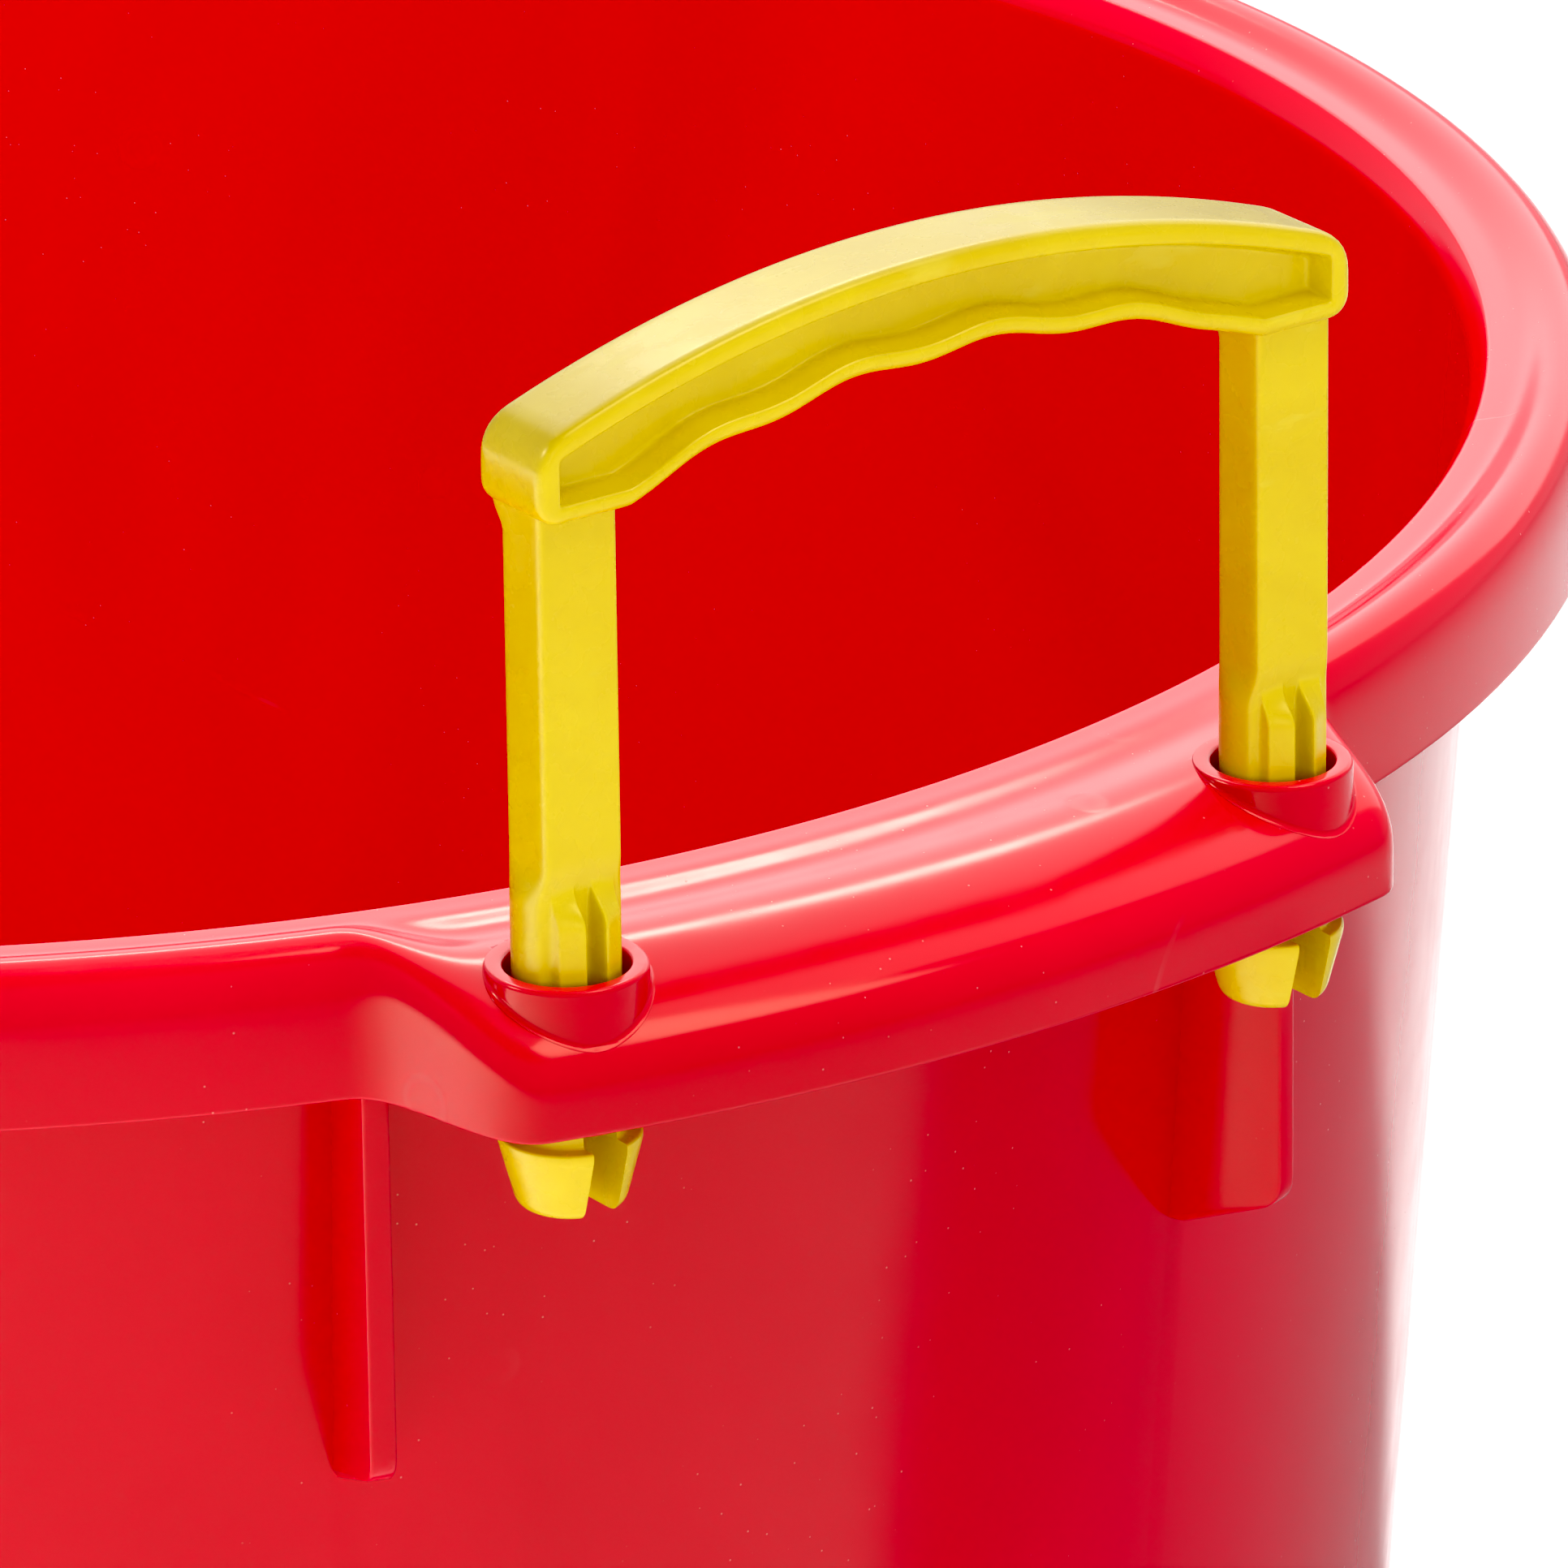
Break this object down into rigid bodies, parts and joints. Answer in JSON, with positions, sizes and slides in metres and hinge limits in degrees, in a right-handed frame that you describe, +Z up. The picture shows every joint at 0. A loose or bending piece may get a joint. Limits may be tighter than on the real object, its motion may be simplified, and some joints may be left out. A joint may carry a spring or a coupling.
{
  "type": "wash bucket",
  "caption": "Round tapered plastic tub with a rolled rim and a slide-down snap-in carrying handle on each side.",
  "frame": {"origin": "centre of the foot ring, on the ground", "axes": "+Z up along the tub's axis; the two handles are on +X (front) and -X (rear), with their legs apart along Y"},
  "size_m": [0.512, 0.4682, 0.4119],
  "materials": {
    "tub": "glossy red moulded polypropylene",
    "handles": "satin yellow moulded polypropylene"
  },
  "bodies": {
    "tub": {"tub": "tub"},
    "front_handle": {"front_handle": "handles"},
    "rear_handle": {"rear_handle": "handles"}
  },
  "joints": [
    {"name": "front_handle_slide", "type": "slide", "parent": "tub", "child": "front_handle", "axis": [0, 0, 1], "range_m": [-0.0595, 0.0025]},
    {"name": "rear_handle_slide", "type": "slide", "parent": "tub", "child": "rear_handle", "axis": [0, 0, 1], "range_m": [-0.0595, 0.0025]}
  ]
}
